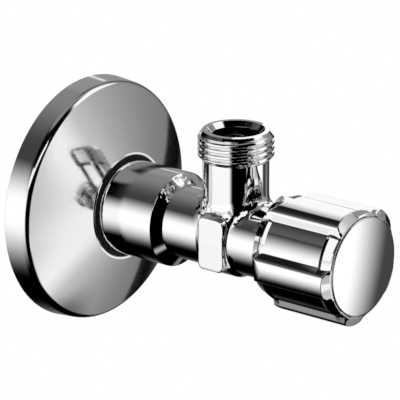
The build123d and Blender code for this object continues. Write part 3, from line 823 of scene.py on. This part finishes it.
class VALVE_OT_grip(bpy.types.Operator):
    """Form the lobed handle grip with its ramped recess floors"""
    bl_idname = "valve.grip"
    bl_label = "Handle grip"

    def lobe_half(self, s):
        """Half of one lobe and one recess, as angles and radii from the lobe's middle to the recess's."""
        top = s.diameter/2
        floor = s.floor/2
        lift = top - s.crown
        edge = math.asin(min(1.0, top*math.sin(s.top_half)/s.crown))
        corner = (lift + s.crown*math.cos(edge), s.crown*math.sin(edge))
        foot = (floor*math.cos(s.foot_half), floor*math.sin(s.foot_half))
        period = math.pi/s.lobes
        crown_line = [
            (lift + s.crown*math.cos(edge*part), s.crown*math.sin(edge*part))
            for part in np.linspace(0, 0.999, 13)
        ]
        floor_line = [
            (floor*math.cos(angle), floor*math.sin(angle))
            for angle in np.linspace(s.foot_half + 0.001, period, 15)
        ]
        bend = [(*crown_line[-4], 0), (*corner, s.lobe_round), (*foot, s.foot_round), (*floor_line[3], 0)]
        flank = rounded(bend, closed=False)
        flank_start = math.atan2(flank[1][1], flank[1][0])
        flank_end = math.atan2(flank[-2][1], flank[-2][0]) + 1e-4
        line = [point for point in crown_line if math.atan2(point[1], point[0]) < flank_start]
        line += [tuple(point) for point in flank[1:-1]]
        line += [point for point in floor_line if math.atan2(point[1], point[0]) > flank_end]
        line = np.array(line)
        return np.arctan2(line[:, 1], line[:, 0]), np.hypot(line[:, 0], line[:, 1])

    def execute(self, context):
        s = millimetres(context.scene.valve_grip)
        angles, radii = self.lobe_half(s)
        one_angle = np.concatenate([-angles[:0:-1], angles[:-1]])
        one_radius = np.concatenate([radii[:0:-1], radii[:-1]])
        period = 2*math.pi/s.lobes
        angle = np.concatenate([one_angle + s.first_lobe + period*lobe for lobe in range(s.lobes)])
        radius = np.tile(one_radius, s.lobes)
        top = s.diameter/2
        floor = s.floor/2
        lobe_rear = s.rear + s.lobe_setback
        lobe_front = lobe_rear + s.lobe_length
        rear_radius = s.rear_diameter/2
        ground = rounded([
            (s.rear, rear_radius),
            (s.rear + s.ring_length, s.ring/2, 0.25),
            (s.rear + s.ring_length + s.ring_slope, floor, 0.3),
            (s.rear + s.floor_end, floor, 0.2),
            (s.rear + s.floor_end + s.step, s.collar/2, 0.15),
            (s.front, s.collar/2 - s.collar_fall),
        ], closed=False)
        ends = [
            (lobe_rear + s.lobe_run*part, top - s.lobe_drop*(1 - part)**2)
            for part in np.linspace(0, 1, 12)
        ]
        limit = rounded([
            *ends,
            (lobe_front, top, 0.3),
            (s.front, s.mouth/2),
        ], closed=False)
        fill = np.concatenate([
            np.linspace(lobe_rear + s.lobe_run, s.rear + s.floor_end, 16),
            np.linspace(s.rear + s.floor_end, s.front, 24),
        ])
        rows = []
        for place in np.unique(np.concatenate([ground[:, 0], limit[:, 0], fill])):
            base = np.interp(place, *ground.T)
            if place <= lobe_rear:
                rows.append(ring_at(place, np.full_like(radius, base), angle))
            if place >= lobe_rear:
                edge = np.interp(place, *limit.T)
                rows.append(ring_at(place, np.minimum(np.maximum(radius, base), edge), angle))
        skirt_end = s.rear + s.skirt_depth
        inside = rounded([
            (s.front, s.mouth/2 - 0.12, 0),
            (s.front - s.cap_seat, s.mouth/2, 0.1),
            (s.front - s.cap_seat, s.pocket/2, 0.1),
            (skirt_end + s.web, s.pocket/2, 0.3),
            (skirt_end + s.web, s.hub_bore/2, 0.1),
            (skirt_end - s.hub_length, s.hub_bore/2, 0.1),
            (skirt_end - s.hub_length, s.hub/2, 0.1),
            (skirt_end, s.hub/2, 0.2),
            (skirt_end, s.skirt_bore/2, 0.3),
            (s.rear, s.skirt_bore/2, 0.1),
            (s.rear, rear_radius, 0),
        ], closed=False)
        for place, inner_radius in inside[:-1]:
            rows.append(ring_at(place, np.full_like(radius, inner_radius), angle))
        vertices = np.concatenate(rows)
        piece = mesh_object("lobed_grip", vertices, grid_faces(len(rows), len(angle), True))
        dress(piece, chrome("grip_chrome"), "handle", "chrome", "handle_grip")
        return {"FINISHED"}


class VALVE_OT_cap(bpy.types.Operator):
    """Turn the domed cap in the grip's front"""
    bl_idname = "valve.cap"
    bl_label = "Handle cap"

    def execute(self, context):
        s = millimetres(context.scene.valve_grip)
        edge = s.cap/2
        seat = s.front - s.cap_seat
        crown = CAP_HIGH.x/MM
        rim = crown - s.cap_dome
        ring = s.pocket/2 - 0.02
        dome = [(crown - s.cap_dome*part**2, edge*part) for part in np.linspace(0, 0.97, 24)]
        profile = rounded([
            *dome,
            (rim, edge, s.cap_round),
            (seat, edge, 0.1),
            (seat, ring),
            (seat - s.cap_skirt, ring, 0.15),
            (seat - s.cap_skirt, ring - s.cap_skirt_wall, 0.1),
            (seat, ring - s.cap_skirt_wall),
            (seat, 0),
        ], closed=False)
        piece = mesh_object("domed_cap", *turned(profile, CAP_SEGMENTS, closed=False))
        dress(piece, chrome("cap_chrome"), "handle", "chrome", "handle_cap")
        return {"FINISHED"}


class VALVE_OT_finishes(bpy.types.Operator):
    """Give the inner pieces their brass, steel, rubber, fibre and plastic"""
    bl_idname = "valve.finishes"
    bl_label = "Inner finishes"

    def execute(self, context):
        finishes = context.scene.valve_finishes
        made = {
            "brass": turned_metal("turned_brass", finishes.brass, 0.25),
            "steel": turned_metal("plain_steel", finishes.steel, 0.3),
            "rubber": soft_finish("black_rubber", finishes.rubber, 0.7, 1500.0, 0.00004),
            "fibre": soft_finish("red_fibre", finishes.fibre, 0.8, 1200.0, 0.00006),
            "plastic": soft_finish("pale_plastic", finishes.plastic, 0.5, 800.0, 0.00003),
            "chrome": chrome("plain_chrome"),
        }
        for entry in frame["record"]["subparts"]:
            coat(frame["nodes"][entry["node"]], made[entry["material_slot"]])
        coat(frame["nodes"]["headwork_bonnet"], turned_metal("nickel_plate", finishes.nickel, 0.18))
        return {"FINISHED"}


class VALVE_OT_stage(bpy.types.Operator):
    """Set the white background, the light tent and the camera"""
    bl_idname = "valve.stage"
    bl_label = "Stage"
    # The front wall is a ramp from a bearing in degrees over a span, with its level at bearings between.
    wall_start = -20
    wall_span = 120
    front_wall = (
        (-17, 0.0), (-13, 0.42), (-6, 0.62), (0, 0.88), (5, 0.93), (16, 0.57), (32, 0.42), (49, 0.33),
        (71, 0.24), (86, 0.21), (88, 0.01))
    # Panels by their level: left, right, lower and upper edge, each from dark to light in degrees.
    panels = (
        ("side", (-166, -134), (-63, -77), (-54, -11), (38, 2)),
        ("spot", (6, 30), (59, 46), (-34, -24), (-4, -13)),
        ("low_lamp", (-16, -12.5), (-5, -8), (-34, -29), (-20, -23)),
        ("back", (98, 114), (168, 140), (-56, -8), (60, 40)),
        ("ceiling", (-181, -180), (181, 180), (64, 74), (91, 90)),
        ("rear_lamp", (126, 127.6), (132, 130.4), (15.6, 17.2), (21.2, 19.6)),
        ("front", (18, 28), (84, 76), (27, 33), (64, 56)),
    )

    def one_sided(self, name):
        """A glowing material that is clear from its back, with its node sheet and its glow."""
        material, sheet = fresh_material(name)
        glow = sheet.add("ShaderNodeEmission")
        clear = sheet.add("ShaderNodeBsdfTransparent")
        behind = sheet.add("ShaderNodeNewGeometry").outputs["Backfacing"]
        sheet.surface(sheet.mixed(behind, glow.outputs[0], clear.outputs[0]))
        return material, sheet, glow

    def handle_card(self, levels):
        """Flat card across the axis behind the handle, white at the far side and dark at the near one."""
        place = 30.0
        lean = np.radians(np.linspace(-80, 48, 48))
        vertices = []
        for radius in (40.0, 85.0):
            vertices += [(place, -radius*math.sin(angle), radius*math.cos(angle)) for angle in lean]
        count = len(lean)
        faces = [(i, i + 1, count + i + 1, count + i) for i in range(count - 1)]
        card = mesh_object("handle_card", vertices, faces)
        if card.data.polygons[0].normal.x < 0:
            card.data.flip_normals()
        material, sheet, glow = self.one_sided("handle_card")
        _, y, z = sheet.split(sheet.place())
        lean = sheet.math("DEGREES", sheet.math("ARCTAN2", sheet.math("MULTIPLY", y, -1.0), z))
        light = sheet.chain(
            "MULTIPLY", sheet.fade(lean, 6.0, 1.0), sheet.fade(lean, 6.0, -26.0, 0.45, 1.0), levels.card)
        dark = sheet.math("MULTIPLY", sheet.fade(lean, 14.0, 46.0, 0.1, 1.0), levels.card_dark)
        sheet.feed(glow.inputs["Strength"], sheet.math("MAXIMUM", light, dark))
        card.data.materials.append(material)
        return card

    def collar_card(self, levels):
        """Flat card above the handle, which its front collar mirrors."""
        height = 55.0
        outline = ((20, -180), (80, -180), (80, -85), (80, -33), (46, -33), (46, -85), (20, -85))
        vertices = [(x, y, height) for x, y in outline]
        card = mesh_object("collar_card", vertices, [(0, 1, 2, 5, 6), (2, 3, 4, 5)])
        if card.data.polygons[0].normal.z > 0:
            card.data.flip_normals()
        material, sheet, glow = self.one_sided("collar_card")
        sheet.feed(glow.inputs["Strength"], levels.card)
        card.data.materials.append(material)
        return card

    def wall_level(self, sheet, bearing, height):
        """Level of the front wall, which bows away from its middle heights."""
        wall = sheet.add("ShaderNodeValToRGB")
        for end, place in zip(wall.color_ramp.elements, (0.0, 1.0)):
            end.position = place
            end.color = (0.0, 0.0, 0.0, 1.0)
        for degrees, level in self.front_wall:
            stop = wall.color_ramp.elements.new((degrees - self.wall_start)/self.wall_span)
            stop.color = (level, level, level, 1.0)
        above = sheet.math("MAXIMUM", sheet.math("ADD", height, 18.0), 0.0)
        below = sheet.math("MAXIMUM", sheet.math("SUBTRACT", -24.0, height), 0.0)
        bow = sheet.math("ADD", sheet.math("MULTIPLY", above, 0.2), sheet.math("MULTIPLY", below, 0.3))
        along = sheet.math("SUBTRACT", sheet.math("SUBTRACT", bearing, bow), self.wall_start)
        sheet.feed(wall.inputs["Fac"], sheet.math("DIVIDE", along, self.wall_span))
        return wall.outputs["Color"]

    def tent_material(self, levels):
        """Soft light panels and dark gaps of the tent round the valve, seen only in reflections."""
        material, sheet = fresh_material("tent_panels")
        unit = sheet.add("ShaderNodeVectorMath", {0: sheet.place()}, operation="NORMALIZE")
        x, y, z = sheet.split(unit.outputs[0])
        height = sheet.math("DEGREES", sheet.math("ARCSINE", z))
        bearing = sheet.math("DEGREES", sheet.math("ARCTAN2", y, x))

        def panel(level, left, right, low, high):
            """A soft-edged panel between bearings and heights, each given as (dark, light) degrees."""
            return sheet.chain(
                "MULTIPLY", sheet.fade(bearing, *left), sheet.fade(bearing, *right),
                sheet.fade(height, *low), sheet.fade(height, *high), level)

        gap = panel(levels.gap, (46, 57), (76, 70), (-34, -27), (-3, -10))
        front = sheet.chain(
            "MULTIPLY", panel(levels.front, (-20, -19), (120, 119), (-56, -50), (91, 90)),
            sheet.fade(sheet.math("SUBTRACT", height, bearing), 12, 8), sheet.math("SUBTRACT", 1.0, gap),
            self.wall_level(sheet, bearing, height))
        overhead = sheet.chain(
            "MULTIPLY", sheet.fade(y, -0.55, 0.3, 0.22, 1.0), sheet.fade(height, 20, 36),
            sheet.fade(x, -0.15, -0.35), levels.overhead)
        lights = [panel(getattr(levels, name), *edges) for name, *edges in self.panels]
        total = sheet.chain("MAXIMUM", front, overhead, *lights)
        sheet.surface(sheet.add("ShaderNodeEmission", {"Strength": total}).outputs[0])
        return material

    def white_floor(self):
        """A pale floor that is plain white to the camera."""
        material, sheet = fresh_material("white_floor")
        path = sheet.add("ShaderNodeLightPath").outputs
        seen = sheet.chain(
            "MAXIMUM", path["Is Camera Ray"], path["Is Glossy Ray"], path["Is Transmission Ray"])
        plain = sheet.add("ShaderNodeBsdfDiffuse", {"Color": (0.9, 0.9, 0.9, 1.0)})
        white = sheet.add("ShaderNodeEmission")
        sheet.surface(sheet.mixed(seen, plain.outputs[0], white.outputs[0]))
        return material

    def plain_shape(self, name, make, material, place, **sizes):
        """A stage object at a place from one of bmesh's own shapes."""
        shape = bmesh.new()
        make(shape, **sizes)
        mesh = bpy.data.meshes.new(name)
        shape.to_mesh(mesh)
        shape.free()
        mesh.shade_smooth()
        mesh.materials.append(material)
        piece = bpy.data.objects.new(name, mesh)
        bpy.context.scene.collection.objects.link(piece)
        piece.location = place
        return piece

    def execute(self, context):
        scene = context.scene
        levels = scene.valve_stage
        scene.view_settings.view_transform = "Standard"
        world = bpy.data.worlds.new("white_studio")
        scene.world = world
        world.use_nodes = True
        world.node_tree.nodes["Background"].inputs["Color"].default_value = (1.0, 1.0, 1.0, 1.0)
        world.node_tree.nodes["Background"].inputs["Strength"].default_value = 1.0
        tent = self.plain_shape(
            "light_tent", bmesh.ops.create_uvsphere, self.tent_material(levels), (0.035, 0.0, 0.0),
            u_segments=96, v_segments=48, radius=1.5)
        cards = (self.handle_card(levels), self.collar_card(levels))
        for reflector in (tent, *cards):
            reflector.visible_camera = False
            reflector.visible_diffuse = False
            reflector.visible_transmission = False
            reflector.visible_shadow = False
        floor = self.plain_shape(
            "pale_floor", bmesh.ops.create_grid, self.white_floor(), (0.0, 0.0, -0.35),
            x_segments=1, y_segments=1, size=8.0)
        floor.visible_glossy = False
        lens = bpy.data.cameras.new("photo_camera")
        lens.sensor_width = CAMERA_SENSOR
        lens.lens = CAMERA_LENS
        lens.clip_end = 100.0
        camera = bpy.data.objects.new("photo_camera", lens)
        scene.collection.objects.link(camera)
        turn = Matrix((CAMERA_RIGHT, CAMERA_UP, CAMERA_BACK)).transposed().to_4x4()
        camera.matrix_world = Matrix.Translation(CAMERA_PLACE) @ turn
        scene.camera = camera
        return {"FINISHED"}


class VALVE_PT_panel(bpy.types.Panel):
    """Buttons for the valve's pieces and stage"""
    bl_idname = "VALVE_PT_panel"
    bl_label = "Angle valve"
    bl_space_type = "VIEW_3D"
    bl_region_type = "UI"
    bl_category = "Angle valve"

    def draw(self, context):
        for operator in PIECES:
            self.layout.operator(operator.bl_idname)


PIECES = (
    VALVE_OT_finishes, VALVE_OT_rosette, VALVE_OT_spigot, VALVE_OT_forging, VALVE_OT_outlet, VALVE_OT_grip,
    VALVE_OT_cap, VALVE_OT_stage,
)
GROUPS = {
    "valve_rosette": RosetteSizes, "valve_body": BodySizes, "valve_grip": GripSizes,
    "valve_finishes": Finishes, "valve_stage": StageLevels,
}


def register():
    """Register the properties, operators and panel."""
    for group in GROUPS.values():
        bpy.utils.register_class(group)
    for name, group in GROUPS.items():
        setattr(bpy.types.Scene, name, bpy.props.PointerProperty(type=group))
    for operator in PIECES:
        bpy.utils.register_class(operator)
    bpy.utils.register_class(VALVE_PT_panel)


def unregister():
    """Take the properties, operators and panel away again."""
    bpy.utils.unregister_class(VALVE_PT_panel)
    for operator in reversed(PIECES):
        bpy.utils.unregister_class(operator)
    for name in GROUPS:
        delattr(bpy.types.Scene, name)
    for group in reversed(list(GROUPS.values())):
        bpy.utils.unregister_class(group)


def main():
    """Build every piece and the stage."""
    register()
    bpy.ops.valve.finishes()
    bpy.ops.valve.rosette()
    bpy.ops.valve.spigot()
    bpy.ops.valve.forging()
    bpy.ops.valve.outlet()
    bpy.ops.valve.grip()
    bpy.ops.valve.cap()
    bpy.ops.valve.stage()


if __name__ == "__main__":
    main()
